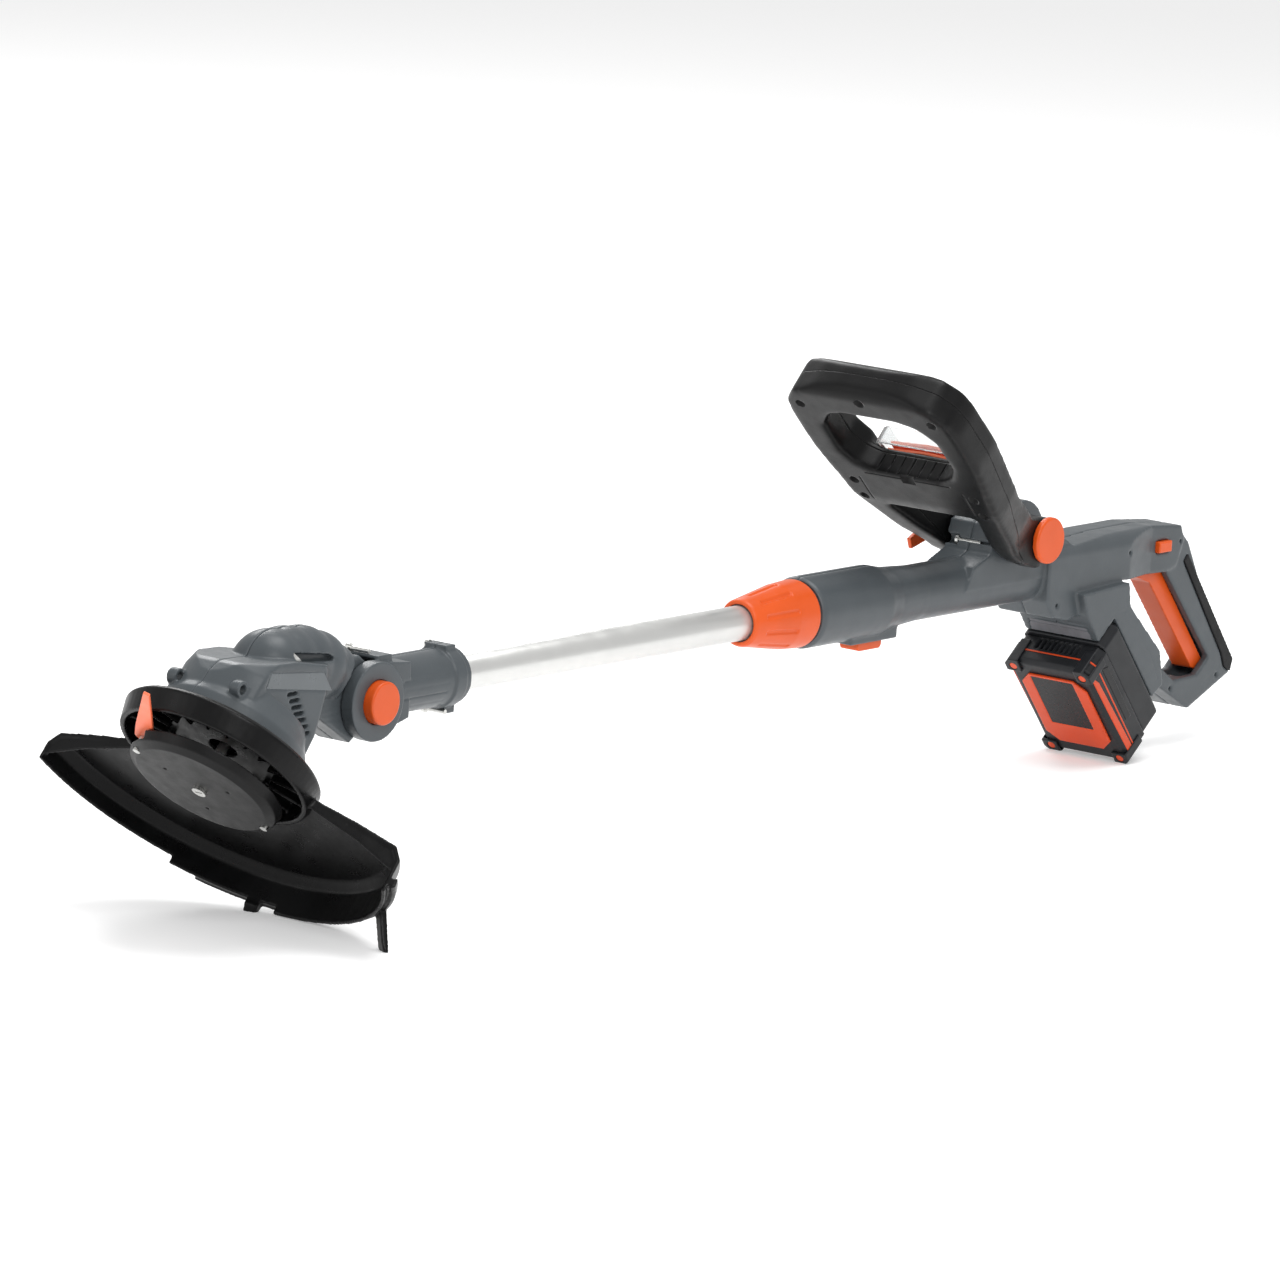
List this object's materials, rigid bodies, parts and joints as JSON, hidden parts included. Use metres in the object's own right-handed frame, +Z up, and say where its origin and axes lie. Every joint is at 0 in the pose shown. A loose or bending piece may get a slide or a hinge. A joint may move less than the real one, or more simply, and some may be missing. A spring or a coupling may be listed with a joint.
{
  "type": "string trimmer",
  "caption": "Cordless grass trimmer with telescopic shaft, tilting head with one plastic blade, guard, loop handle and slide-on battery.",
  "frame": {"origin": "floor point below the centre of the overall bounding box", "axes": "+X from the cutting head to the rear grip along the shaft, +Z up, +Y to the tool's right as seen from the grip"},
  "size_m": [1.2441, 0.2699, 0.3183],
  "materials": {
    "housing_grey": "fine moulded grain",
    "handle_black": "fine moulded grain",
    "guard_black": "smooth, slightly worn",
    "orange_plastic": "satin moulded",
    "blade_plastic": "slightly translucent nylon",
    "rubber_black": "textured soft grip",
    "tube_metal": "satin anodised",
    "steel": "zinc plated",
    "battery_charcoal": "fine moulded grain",
    "battery_orange": "satin moulded",
    "label_black": "printed film, left blank",
    "clear_plastic": "clear polycarbonate",
    "internal": "plain",
    "board_green": "solder mask"
  },
  "bodies": {
    "rear_unit": {"rear_housing_left": "housing_grey", "rear_housing_right": "housing_grey", "rear_housing_screws": "steel", "grip_inlay": "rubber_black", "trigger_pin": "steel", "trigger_spring": "steel", "power_switch": "internal", "control_board": "board_green", "dock_block": "internal", "latch_spring": "steel"},
    "trigger": {"trigger": "orange_plastic"},
    "lock_off": {"lock_off_button": "orange_plastic"},
    "battery": {"battery_upper_shell": "battery_charcoal", "battery_lower_shell": "battery_charcoal", "battery_cells": "internal", "battery_cover": "battery_orange", "battery_label": "label_black", "battery_corner_guards": "battery_charcoal", "battery_screws": "battery_orange"},
    "battery_release": {"battery_release": "battery_charcoal"},
    "swivel": {"guide_sleeve": "internal", "shaft_collet": "internal"},
    "rotation_latch": {"rotation_latch": "orange_plastic"},
    "lock_collar": {"lock_collar": "orange_plastic"},
    "shaft": {"shaft_tube": "tube_metal", "tube_end_plug": "internal", "head_sleeve_left": "housing_grey", "head_sleeve_right": "housing_grey", "head_sleeve_screws": "steel", "tilt_end_cap": "internal", "tilt_button_spring": "steel"},
    "tilt_button": {"tilt_button": "orange_plastic"},
    "head": {"head_housing_left": "housing_grey", "head_housing_right": "housing_grey", "head_housing_screws": "steel", "motor": "steel", "motor_plate": "internal", "spindle_bearing": "steel", "guard": "guard_black", "guard_screws": "steel"},
    "spindle": {"motor_shaft": "steel", "cooling_fan": "internal", "blade_carrier": "handle_black", "carrier_screw": "steel", "blade_pin": "steel", "balance_pin": "steel"},
    "blade": {"cutting_blade": "blade_plastic"},
    "front_handle": {"front_handle_front": "handle_black", "front_handle_back": "handle_black", "front_handle_screws": "steel", "handle_clamp_bolt": "steel", "clamp_knob": "orange_plastic", "lever_pin": "steel"},
    "clamp_lever": {"clamp_lever": "orange_plastic"},
    "case_cover": {"blade_case_cover": "clear_plastic", "spare_blades": "blade_plastic"}
  },
  "joints": [
    {"name": "trigger_pull", "type": "hinge", "parent": "rear_unit", "child": "trigger", "pos_m": [0.519, 0, 0.1445], "axis": [0, -1, 0], "range_deg": [0, 4], "stiffness_Nm_per_rad": 1.2, "springref_deg": -8.59, "deforming": ["trigger_spring"]},
    {"name": "lock_off_press", "type": "slide", "parent": "rear_unit", "child": "lock_off", "axis": [0, 1, 0], "range_m": [0, 0.003], "stiffness_N_per_m": 300, "springref_m": -0.001},
    {"name": "battery_slide", "type": "slide", "parent": "rear_unit", "child": "battery", "axis": [0.6428, 0, -0.766], "range_m": [0, 0.11]},
    {"name": "battery_release_press", "type": "slide", "parent": "battery", "child": "battery_release", "axis": [-0.6428, 0, 0.766], "range_m": [0, 0.0025], "stiffness_N_per_m": 400, "springref_m": -0.001},
    {"name": "shaft_swivel", "type": "hinge", "parent": "rear_unit", "child": "swivel", "pos_m": [0.118, 0, 0.1485], "axis": [1, 0, 0], "range_deg": [0, 180]},
    {"name": "rotation_latch_slide", "type": "slide", "parent": "rear_unit", "child": "rotation_latch", "axis": [1, 0, 0], "range_m": [-0.0055, 0], "deforming": ["latch_spring"]},
    {"name": "lock_collar_turn", "type": "hinge", "parent": "swivel", "child": "lock_collar", "pos_m": [0.048, 0, 0.1485], "axis": [1, 0, 0], "range_deg": [0, 90]},
    {"name": "shaft_extend", "type": "slide", "parent": "swivel", "child": "shaft", "axis": [-1, 0, 0], "range_m": [-0.045, 0.07]},
    {"name": "tilt_button_press", "type": "slide", "parent": "shaft", "child": "tilt_button", "axis": [0, 1, 0], "range_m": [0, 0.0038], "stiffness_N_per_m": 500, "springref_m": -0.001, "deforming": ["tilt_button_spring"]},
    {"name": "head_tilt", "type": "hinge", "parent": "shaft", "child": "head", "pos_m": [-0.402, 0, 0.1455], "axis": [0, 1, 0], "range_deg": [-50, 0]},
    {"name": "spindle_spin", "type": "hinge", "parent": "head", "child": "spindle", "pos_m": [-0.55137, 0, 0.10035], "axis": [0.6428, 0, 0.766], "continuous": true},
    {"name": "blade_swing", "type": "hinge", "parent": "spindle", "child": "blade", "pos_m": [-0.57198, 0.03215, 0.13331], "axis": [0.6428, 0, 0.766], "range_deg": [-110, 80]},
    {"name": "handle_tilt", "type": "hinge", "parent": "rear_unit", "child": "front_handle", "pos_m": [0.332, 0, 0.1825], "axis": [0, 1, 0], "range_deg": [-12, 45]},
    {"name": "clamp_lever_open", "type": "hinge", "parent": "front_handle", "child": "clamp_lever", "pos_m": [0.332, 0.049, 0.1825], "axis": [0.3502, 0, -0.9367], "range_deg": [0, 95]},
    {"name": "case_cover_open", "type": "hinge", "parent": "front_handle", "child": "case_cover", "pos_m": [0.26908, 0, 0.23532], "axis": [0, 1, 0], "range_deg": [0, 100]}
  ]
}
